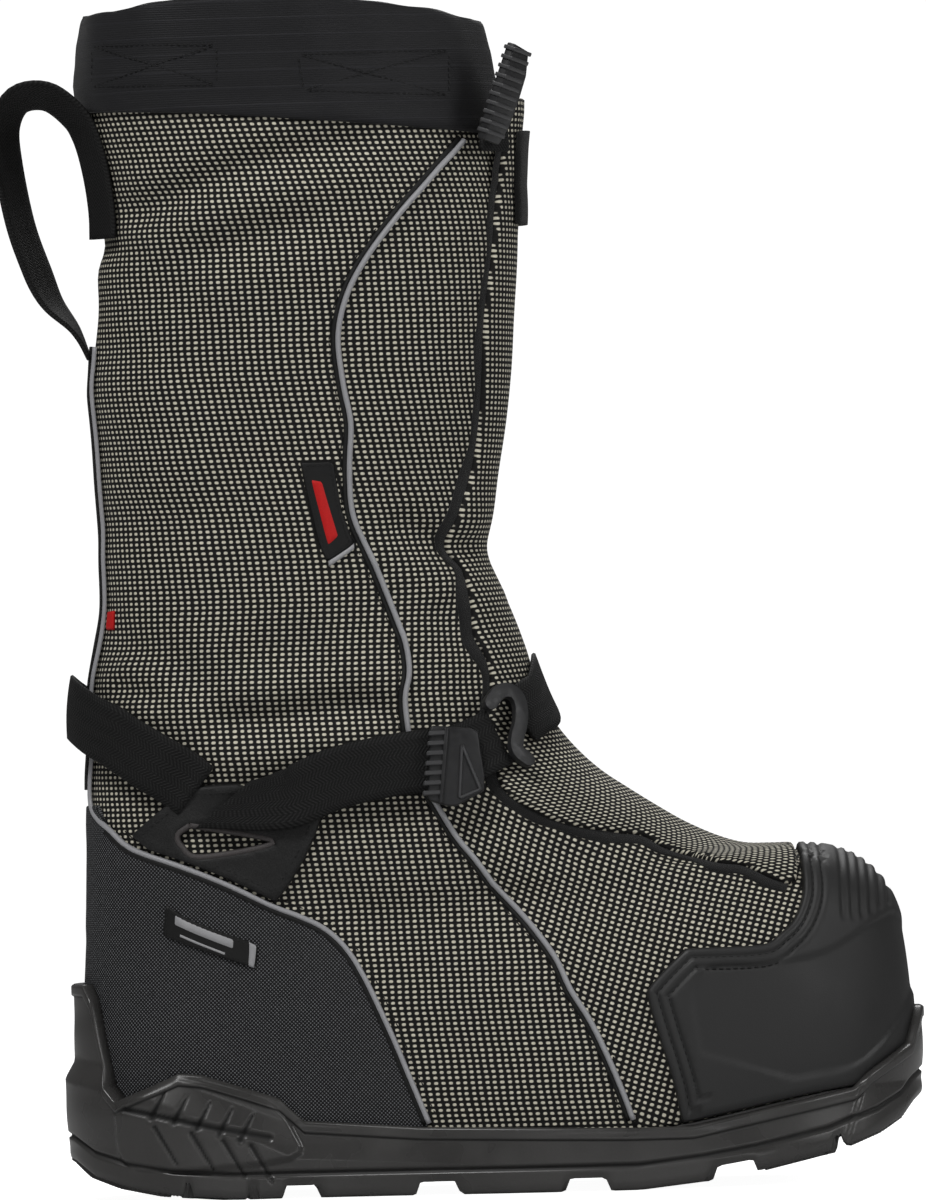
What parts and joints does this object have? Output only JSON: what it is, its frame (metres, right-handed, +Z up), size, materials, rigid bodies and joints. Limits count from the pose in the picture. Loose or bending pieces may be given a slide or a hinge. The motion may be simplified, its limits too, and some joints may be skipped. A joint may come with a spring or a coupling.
{
  "type": "winter overshoe",
  "caption": "Tall insulated cloth overshoe for the right foot, with open collar, front flap, ankle strap, pull loop and lugged rubber sole.",
  "frame": {"origin": "on the floor, under the middle of the sole's length, on the flat of the middle lug", "axes": "+X to the toe, +Y to the inner side of the foot, +Z up"},
  "size_m": [0.3669, 0.1402, 0.4891],
  "materials": {
    "sole_rubber": "semi-gloss moulded",
    "insole_foam": "felt",
    "dotted_cloth": "heavy woven nylon with light dots",
    "cap_rubber": "matte",
    "charcoal_cloth": "fine weave",
    "black_nylon": "thin woven nylon",
    "coated_fabric": "grained coating",
    "webbing": "herringbone weave",
    "reflective_piping": "reflective",
    "hard_plastic": "satin",
    "hook_pile": "fuzzy pile",
    "label_black": "woven",
    "tag_red": "woven"
  },
  "bodies": {
    "root": {"outsole": "sole_rubber", "insole": "insole_foam", "upper": "dotted_cloth", "toe_cap": "cap_rubber", "heel_counter": "charcoal_cloth", "collar_cuff": "black_nylon", "front_flap": "dotted_cloth", "tab_outer": "coated_fabric", "tab_inner": "coated_fabric", "strap_outer": "webbing", "strap_heel": "webbing", "strap_front": "webbing", "piping_side_outer": "reflective_piping", "piping_side_inner": "reflective_piping", "piping_heel_outer": "reflective_piping", "piping_heel_inner": "reflective_piping", "back_strip": "webbing", "pull_loop": "webbing", "strap_buckle": "hard_plastic", "strap_hook": "hard_plastic", "top_buckle": "hard_plastic", "top_strap": "webbing", "top_tab": "hook_pile", "side_label": "label_black", "heel_label": "label_black", "back_tag": "tag_red"}
  },
  "joints": []
}
